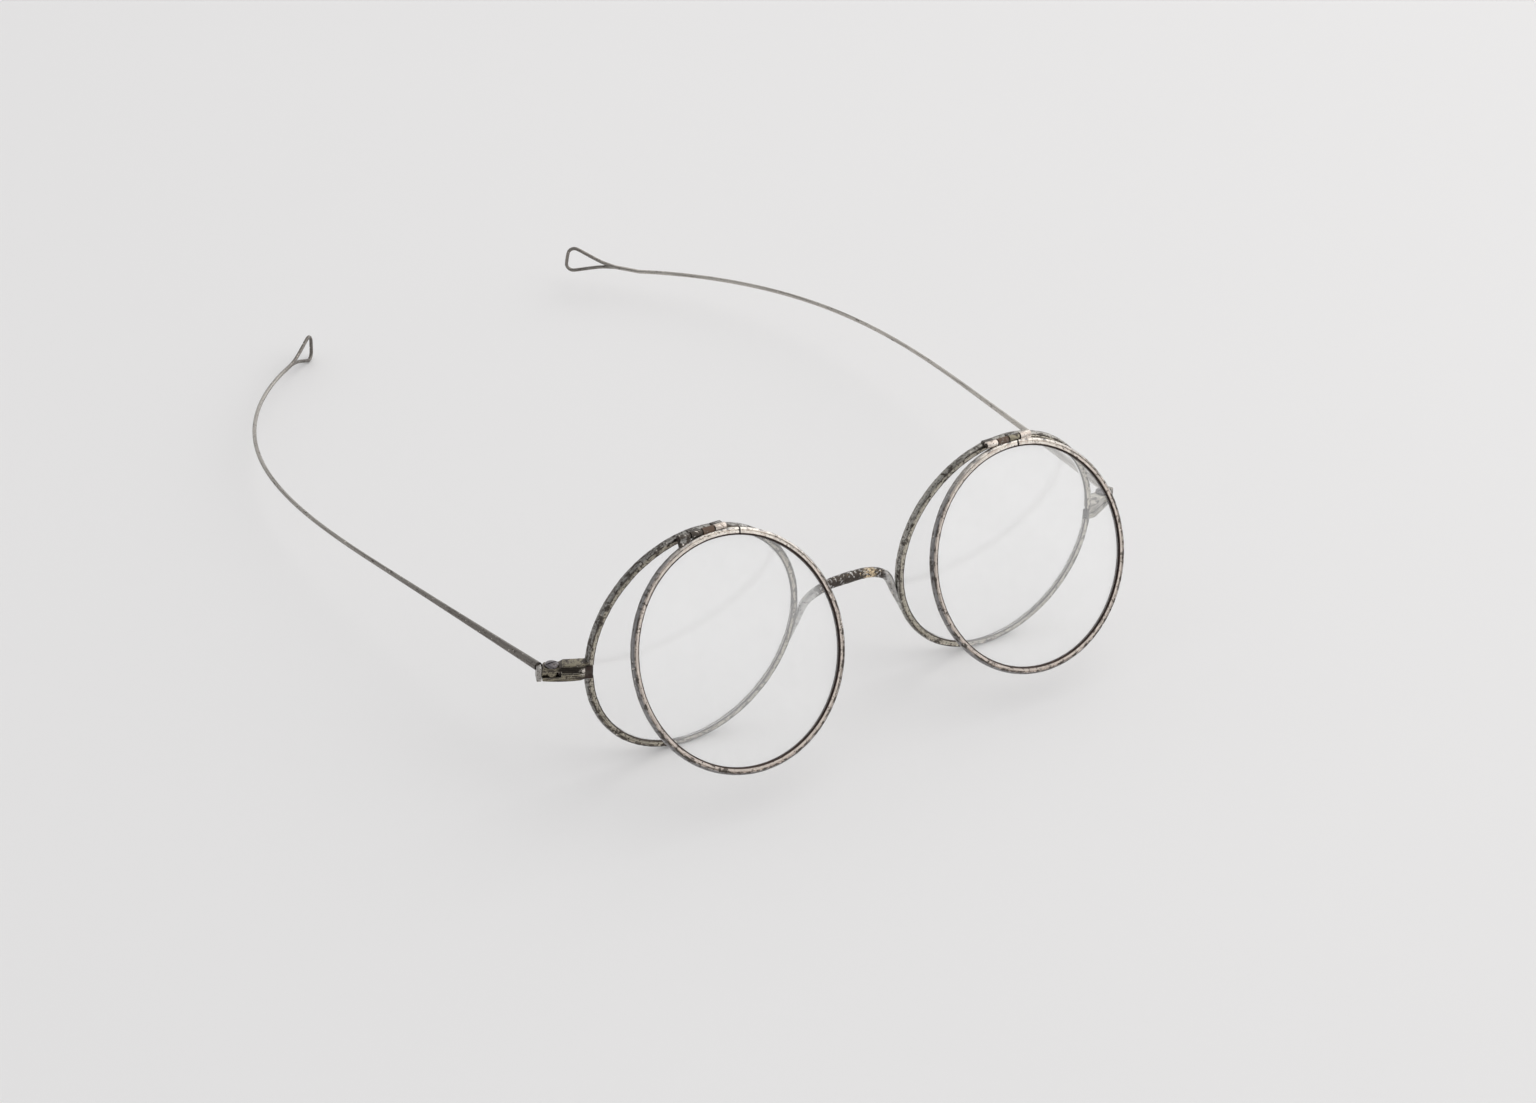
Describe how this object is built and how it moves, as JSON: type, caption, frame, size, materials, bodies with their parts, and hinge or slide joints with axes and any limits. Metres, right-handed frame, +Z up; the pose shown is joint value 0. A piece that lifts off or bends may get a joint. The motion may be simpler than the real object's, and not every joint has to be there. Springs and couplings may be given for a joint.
{
  "type": "flip-up spectacles",
  "caption": "Old wire spectacles: round glass lenses in grooved eyewires, a second pair that flips up on knuckle hinges, and folding temples that end in wire loops.",
  "frame": {"origin": "middle of the footprint, on the surface that the eyewires and the lower temple loop stand on", "axes": "+X to the right as seen from the front, +Y back along the temples, +Z up"},
  "size_m": [0.127, 0.1552, 0.0418],
  "materials": {
    "tarnished_metal": "tarnished, worn bright on raised edges",
    "rusted_metal": "pitted and rusted brown",
    "clear_glass": "clear, a little hazy with age"
  },
  "bodies": {
    "front": {"bridge": "tarnished_metal", "left_eyewire": "tarnished_metal", "left_lens": "clear_glass", "left_fixed_knuckle_inner": "tarnished_metal", "left_fixed_knuckle_outer": "tarnished_metal", "left_hinge_pin": "rusted_metal", "left_joint_upper": "tarnished_metal", "left_joint_lower": "tarnished_metal", "left_joint_screw": "tarnished_metal", "right_eyewire": "tarnished_metal", "right_lens": "clear_glass", "right_fixed_knuckle_inner": "tarnished_metal", "right_fixed_knuckle_outer": "tarnished_metal", "right_hinge_pin": "rusted_metal", "right_joint_upper": "tarnished_metal", "right_joint_lower": "tarnished_metal", "right_joint_screw": "tarnished_metal"},
    "left_flip": {"left_flip_rim": "tarnished_metal", "left_flip_lens": "clear_glass", "left_flip_knuckle_inner": "rusted_metal", "left_flip_knuckle_outer": "rusted_metal"},
    "right_flip": {"right_flip_rim": "tarnished_metal", "right_flip_lens": "clear_glass", "right_flip_knuckle_inner": "rusted_metal", "right_flip_knuckle_outer": "rusted_metal"},
    "left_arm": {"left_temple": "tarnished_metal"},
    "right_arm": {"right_temple": "tarnished_metal"}
  },
  "joints": [
    {"name": "left_temple_fold", "type": "hinge", "parent": "front", "child": "left_arm", "pos_m": [-0.05644, -0.05376, 0.0202], "axis": [0, -0.0627, -0.998], "range_deg": [0, 86]},
    {"name": "right_temple_fold", "type": "hinge", "parent": "front", "child": "right_arm", "pos_m": [0.05644, -0.05376, 0.0202], "axis": [-0.0262, 0.0627, 0.9977], "range_deg": [0, 80]},
    {"name": "left_flip_up", "type": "hinge", "parent": "front", "child": "left_flip", "pos_m": [-0.031, -0.05637, 0.04116], "axis": [-1, 0, 0], "range_deg": [-27.4, 122.6]},
    {"name": "right_flip_up", "type": "hinge", "parent": "front", "child": "right_flip", "pos_m": [0.031, -0.05637, 0.04116], "axis": [-1, 0, 0], "range_deg": [-23.6, 126.4]}
  ]
}
